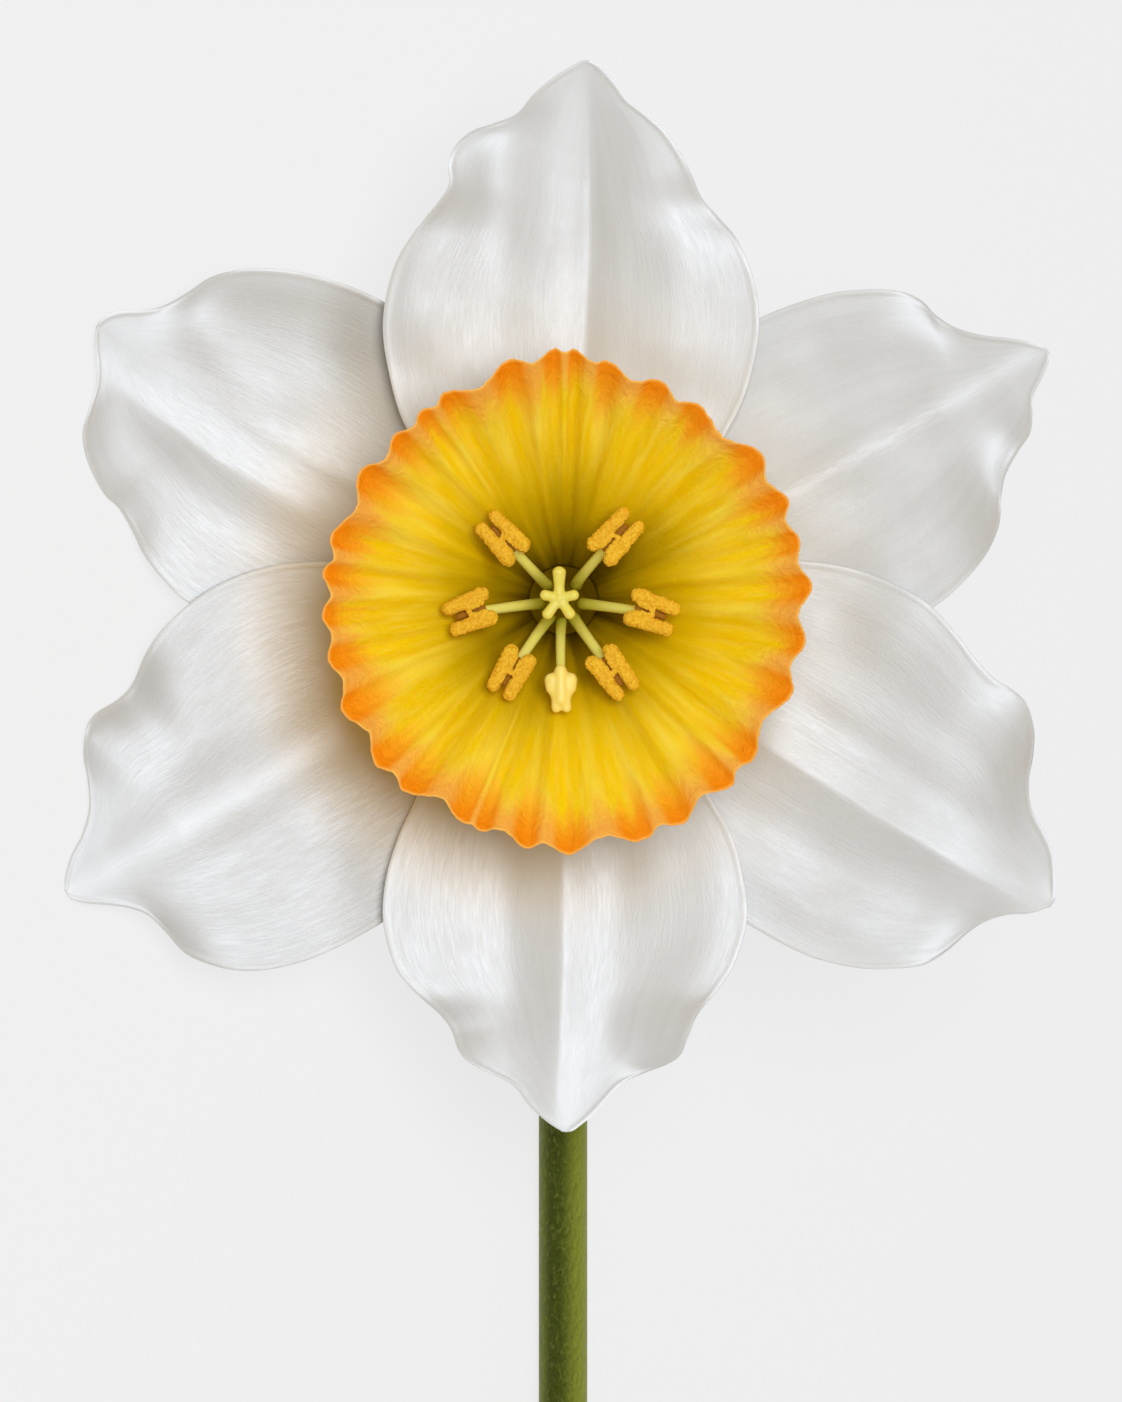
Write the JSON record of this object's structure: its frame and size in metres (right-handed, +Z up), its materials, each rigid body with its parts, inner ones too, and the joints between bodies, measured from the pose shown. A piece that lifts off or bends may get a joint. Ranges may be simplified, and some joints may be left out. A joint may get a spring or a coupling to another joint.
{
  "type": "narcissus flower",
  "caption": "Cut narcissus lying on its side: white petals round a deep scalloped orange cup with stamens, on a straight bare stem.",
  "frame": {"origin": "centre of the bounding box, at the surface that the flower lies on", "axes": "+Y along the stem from its cut end to the bloom, +Z up; the bloom faces up and leans 34 degrees towards -X"},
  "size_m": [0.0774, 0.2002, 0.0519],
  "materials": {
    "petal": "satin",
    "cup": "satin",
    "stem": "satin",
    "ovary": "satin",
    "tube": "satin",
    "spathe": "matte",
    "filament": "satin",
    "anther": "matte",
    "stigma": "satin",
    "pale_stamen": "satin"
  },
  "bodies": {
    "root": {"stem": "stem", "pedicel": "stem", "spathe": "spathe", "ovary": "ovary", "perianth_tube": "tube", "corona": "cup", "tepal_top": "petal", "tepal_upper_left": "petal", "tepal_lower_left": "petal", "tepal_bottom": "petal", "tepal_lower_right": "petal", "tepal_upper_right": "petal", "filament_1": "filament", "anther_1": "anther", "filament_2": "filament", "anther_2": "anther", "filament_3": "filament", "anther_3": "anther", "filament_4": "filament", "anther_4": "anther", "filament_5": "filament", "anther_5": "anther", "filament_6": "filament", "anther_6": "anther", "pale_stamen_filament": "filament", "pale_stamen_head": "pale_stamen", "style": "filament", "stigma": "stigma"}
  },
  "joints": []
}
